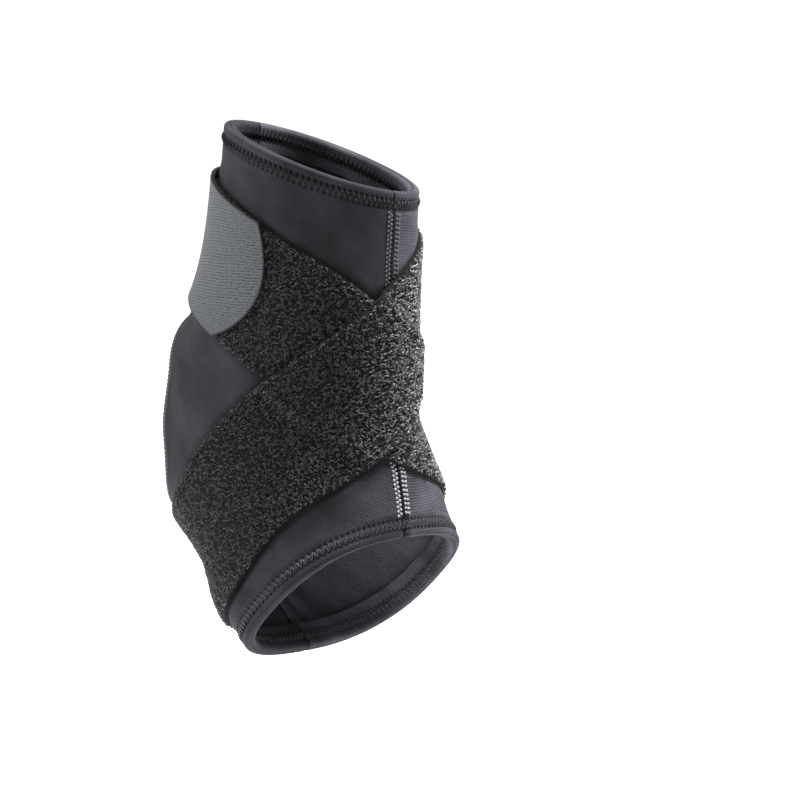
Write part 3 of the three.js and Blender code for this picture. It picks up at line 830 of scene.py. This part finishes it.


def loops(name, face, count, seed):
    """Loops of the pile as short bent bundles that lie every way over the strap's face."""
    draw = np.random.default_rng(seed)
    rows, columns = face.shape[:2]
    mm = [STRAP_WIDTH / (columns - 1), (length_at(STRAP_END) - 1) / (rows - 1)]
    normal = unit(np.cross(np.gradient(face, axis=1), np.gradient(face, axis=0)))
    out_ward = np.sum(normal[5, 5] * (face[5, 5] - face.mean((0, 1)))) > 0
    normal = normal if out_ward else -normal
    middle = draw.uniform([0.8, 0.6], [rows - 1.8, columns - 1.6], (count, 2))
    heading = draw.uniform(0, math.pi, count)
    span = draw.uniform(*LOOP_SPAN, count)
    bend = draw.uniform(-0.9, 0.9, count)
    thick = LOOP_THREAD / 2 * draw.uniform(0.75, 1.2, count)
    s = np.linspace(-1, 1, LOOP_RINGS)[None, :]
    x = s * span[:, None] / 2
    y = bend[:, None] * (s**2 - 0.4)
    turn_x = x * np.cos(heading)[:, None] - y * np.sin(heading)[:, None]
    turn_y = x * np.sin(heading)[:, None] + y * np.cos(heading)[:, None]
    row = np.clip(middle[:, :1] + turn_y / mm[1], 0, rows - 1.001)
    column = np.clip(middle[:, 1:] + turn_x / mm[0], 0.15, columns - 1.151)
    i, j = row.astype(int), column.astype(int)
    f, g = (row - i)[..., None], (column - j)[..., None]
    read = lambda grid: (
        (grid[i, j] * (1 - g) + grid[i, j + 1] * g) * (1 - f)
        + (grid[i + 1, j] * (1 - g) + grid[i + 1, j + 1] * g) * f
    )
    out = unit(read(normal))
    path = read(face) + out * (LOOP_RISE * np.array([0, 1, 1, 0]) - 0.1)[..., None]
    going = unit(np.gradient(path, axis=1))
    side = unit(np.cross(going, out))
    upward = np.cross(side, going)
    a = (np.arange(LOOP_SIDES) * 2 * math.pi / LOOP_SIDES + math.pi / 2)[:, None]
    radius = (thick[:, None] * np.array([0.6, 1.1, 1.1, 0.6]))[..., None, None]
    points = path[:, :, None] + radius * (np.cos(a) * side[:, :, None] + np.sin(a) * upward[:, :, None])
    ring = np.arange(LOOP_SIDES)
    after = (ring + 1) % LOOP_SIDES
    starts = np.arange(LOOP_RINGS - 1) * LOOP_SIDES
    one = np.concatenate(
        [
            np.stack([k + LOOP_SIDES + ring, k + LOOP_SIDES + after, k + after, k + ring], -1)
            for k in starts
        ]
    )
    last = (LOOP_RINGS - 1) * LOOP_SIDES
    caps = np.array([ring, (last + ring)[::-1]])
    shift = np.arange(count)[:, None, None] * LOOP_RINGS * LOOP_SIDES
    faces = (one[None] + shift).reshape(-1, 4).tolist() + (caps[None] + shift).reshape(-1, 3).tolist()
    tone = np.repeat(draw.uniform(0, 1, count), LOOP_RINGS * LOOP_SIDES)
    place = np.tile(np.repeat(np.linspace(0, 1, LOOP_RINGS), LOOP_SIDES), count)
    marks = np.stack([tone, place], -1)
    corners = np.concatenate([np.ravel(f) for f in faces])
    return meshed(name, points.reshape(-1, 3), faces, marks[corners])


def loop_yarn(name):
    """Nylon filament bundles, each loop a little paler or darker than the next, and more so
    towards the inner front: painted light, brighter glints and darker gaps where the right softbox lights
    the pile."""
    made, tree, surface = material(name, Roughness=0.5, Sheen_Weight=0.06, Sheen_Roughness=0.3)
    surface.inputs["Specular IOR Level"].default_value = 0.3
    marks = node(tree, "ShaderNodeUVMap", uv_map="cloth_mm").outputs[0]
    tone = node(tree, "ShaderNodeSeparateXYZ", {0: marks}).outputs[0]
    share = node(tree, "ShaderNodeMath", {0: tone, 1: 1.6}, operation="POWER").outputs[0]
    # Painted light: the loops' tones spread wider towards the lit inner front
    painted_glint_share = ramp(tree, towards(tree, PAINTED_GLINT_WAY), 0.02, 0.065)
    even = blend(tree, share, colour("#1C1C1D"), colour("#48484A"))
    painted_glint_tone = blend(tree, share, colour("#060606"), colour("#88888B"))
    tree.links.new(blend(tree, painted_glint_share, even, painted_glint_tone), surface.inputs["Base Color"])
    return made


def loop_pile(name):
    """Unbroken nylon loops, about 2 mm long and lying every way: black, with painted grey glints where a
    loop's back catches the light, shown in random patches."""
    made, tree, surface = material(name, Roughness=0.8, Sheen_Weight=0.04, Sheen_Roughness=0.4)
    surface.inputs["Specular IOR Level"].default_value = 0.12
    cloth = node(tree, "ShaderNodeUVMap", uv_map="cloth_mm").outputs[0]
    swirl = noise(tree, cloth, 0.42, 2.0, "Color")
    bent = node(
        tree, "ShaderNodeVectorMath", {0: swirl, 1: (2.6, 2.6, 0.0), 2: cloth}, operation="MULTIPLY_ADD"
    ).outputs[0]
    centred = node(
        tree, "ShaderNodeMath", {0: noise(tree, bent, 0.55, 1.5), 1: 0.5}, operation="SUBTRACT"
    ).outputs[0]
    ridge = node(tree, "ShaderNodeMath", {0: centred}, operation="ABSOLUTE").outputs[0]
    backs = ramp(tree, ridge, 0.055, 0.0)
    shown = ramp(tree, noise(tree, cloth, 0.75, 2.0), 0.42, 0.62)
    # Painted highlight: grey glints along the loops' backs, in random patches
    glint = node(tree, "ShaderNodeMath", {0: backs, 1: shown}, operation="MULTIPLY").outputs[0]
    ground = blend(tree, glint, colour("#0D0D0E"), colour("#222224"))
    # The strap's edge is darkened: its black foam side, and painted shade under the strap's edge
    tone = edge_and_shade_darkened(tree, ground, "#020202", 0.2, 0.7)
    height = summed(tree, glint, 0.8, noise(tree, bent, 1.6, 3.0))
    dressed(tree, surface, tone, height, 0.9, 0.0006)
    return made


strap_piece, strap_face = strap("strap_figure_eight")
strap_piece.data.materials.append(loop_pile("unbroken_loop_pile"))
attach(strap_piece, "root")
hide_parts("figure_eight_strap")
pile = [loops(f"strap_loops_{k}", strap_face, LOOP_COUNT, FIRST_SEED + k) for k in range(3)]
yarn = loop_yarn("nylon_loop_yarn")
for piece in pile:
    piece.data.materials.append(yarn)
    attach(piece, "root")

# ------------------------------------------------------------------------------------------------
# Hook tab
# A rounded tab of woven hook tape sewn over the strap's end. Its hooks face inwards and grip the
# loops, so the smooth grey woven back shows, with a dark cut edge.
# ------------------------------------------------------------------------------------------------
TAB_WIDTH, TAB_THICK = 52.0, 1.5
TAB_START, TAB_END, TAB_ROUND = -556, -627, 11.5
TAB_OVERLAP = 30.0  # length of strap before the tab that holds it up
TAPE_SLANT = 30.0  # degrees between the tape's floats and the tab's end


def tab(name):
    """The tab, rounded at its free end."""
    start, stop = float(length_at(TAB_START)), float(length_at(TAB_END))
    share = np.linspace(0, 1, 17)[:, None]
    across = np.linspace(-1, 1, 9)[None, :]
    length = start + (stop - start) * share + TAB_ROUND * (1 - across**2) * smooth(share)
    coarse = beside(length, across * TAB_WIDTH / 2)
    rows, columns = np.linspace(0, 16, 90), np.linspace(0, 8, 62)
    places = refined(coarse, rows, columns)
    face = on_form(places, NEOPRENE)
    last_turn = (int(start - TAB_OVERLAP), length_at(STRAP_END))
    raised = LAYER * np.maximum(held_up(face, *first_turn), held_up(face, *last_turn))
    uvs = measured(face)
    low = STRAP_BASE + 0.1 + raised
    sides = TAB_WIDTH / 2 * (1 - np.abs(np.interp(columns, np.arange(9), across[0])))[None, :]
    ends = np.minimum(uvs[..., 1], uvs[-1:, :, 1] - uvs[..., 1])
    upper = on_form(places, low + TAB_THICK)
    return slab(name, on_form(places, low), upper, uvs, np.minimum(sides, ends))


def woven_tape(name):
    """Woven nylon tape: mid grey, with rows of short floats about 1 mm long across its length."""
    made, tree, surface = material(name, Roughness=0.65, Sheen_Weight=0.05, Sheen_Roughness=0.4)
    surface.inputs["Specular IOR Level"].default_value = 0.3
    cloth = node(tree, "ShaderNodeUVMap", uv_map="cloth_mm").outputs[0]
    slanted = turned(tree, cloth, TAPE_SLANT)
    floats = ribs(tree, slanted, 1.05, Distortion=1.8, Detail=2.0, Detail_Scale=0.9)
    lengthways = node(tree, "ShaderNodeMapping", {0: slanted, "Scale": (1.3, 0.7, 1.0)}).outputs[0]
    breaks, grain = noise(tree, lengthways, 1.0, 2.0), noise(tree, cloth, 1.4, 3.0)
    gaps = node(tree, "ShaderNodeMath", {0: breaks, 1: grain}, operation="ADD").outputs[0]
    level = summed(tree, floats, 0.5, gaps)
    woven = blend(tree, ramp(tree, level, 0.9, 1.25), colour("#0C0D0F"), colour("#3C3F44"))
    tone = edge_and_shade_darkened(tree, woven, "#060608", 0.45, 0.75)
    dressed(tree, surface, tone, level, 0.8, 0.0003)
    return made


tab_piece = tab("hook_tab_rounded")
tab_piece.data.materials.append(woven_tape("woven_hook_tape"))
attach(tab_piece, "root")
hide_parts("hook_tab")

# ------------------------------------------------------------------------------------------------
# Studio
# A white sweep, broad soft lights from both sides, and a long lens level with the ankle.
# ------------------------------------------------------------------------------------------------
FLOOR_DROP = -0.26
bpy.ops.object.select_all(action="DESELECT")
bpy.ops.mesh.primitive_plane_add(size=40, location=(0, 0, FLOOR_DROP))
floor = bpy.context.object
floor.name = "floor"
paper, _, _ = material("matt_paper", Roughness=0.9, Base_Color=colour("#F6F6F6"))
floor.data.materials.append(paper)

world = bpy.data.worlds.new("studio")
bpy.context.scene.world = world
world.use_nodes = True
world.node_tree.nodes["Background"].inputs["Color"].default_value = (1.0, 1.0, 1.0, 1.0)
world.node_tree.nodes["Background"].inputs["Strength"].default_value = 0.3


def softbox(name, azimuth, elevation, away, size, power):
    """A square area light that looks at the ankle."""
    a, e = math.radians(azimuth), math.radians(elevation)
    back = Vector((math.sin(a) * math.cos(e), -math.cos(a) * math.cos(e), math.sin(e)))
    bpy.ops.object.light_add(type="AREA", location=back * away)
    lamp = bpy.context.object
    lamp.name = name
    lamp.rotation_euler = back.to_track_quat("Z", "Y").to_euler()
    lamp.data.size = size
    lamp.data.energy = power


softbox("softbox_left", -135, 25, 1.2, 0.7, 19)
softbox("softbox_right", 62, 64, 1.1, 0.35, 42)
bpy.ops.object.light_add(type="SUN", location=(0, 0, 1))
overhead = bpy.context.object
overhead.name = "overhead_sky_panel"
overhead.data.angle = math.radians(60)
overhead.data.energy = 2.7

CAMERA_AZIMUTH, CAMERA_ELEVATION, CAMERA_ROLL = -49.0, 12.0, 5.0
CAMERA_DISTANCE = 1.2
LENS, SENSOR = 135.0, 36.0
TARGET = Vector((0.0, -0.010, 0.0))
AIM_RIGHT, AIM_UP = 0.036, 0.002  # from the target to the middle of the picture
a, e, r = (math.radians(x) for x in (CAMERA_AZIMUTH, CAMERA_ELEVATION, CAMERA_ROLL))
back = Vector((math.sin(a) * math.cos(e), -math.cos(a) * math.cos(e), math.sin(e)))
right = Vector((0, 0, 1)).cross(back).normalized()
up = back.cross(right)
right, up = right * math.cos(r) + up * math.sin(r), up * math.cos(r) - right * math.sin(r)
eye = TARGET + back * CAMERA_DISTANCE
back = (eye - (TARGET + right * AIM_RIGHT + up * AIM_UP)).normalized()
right = up.cross(back).normalized()
up = back.cross(right)
camera = bpy.data.objects.new("camera", bpy.data.cameras.new("camera"))
bpy.context.scene.collection.objects.link(camera)
camera.matrix_world = Matrix.Translation(eye) @ Matrix((right, up, back)).transposed().to_4x4()
camera.data.lens = LENS
camera.data.sensor_width = SENSOR
bpy.context.scene.camera = camera
bpy.context.scene.view_settings.view_transform = "Standard"
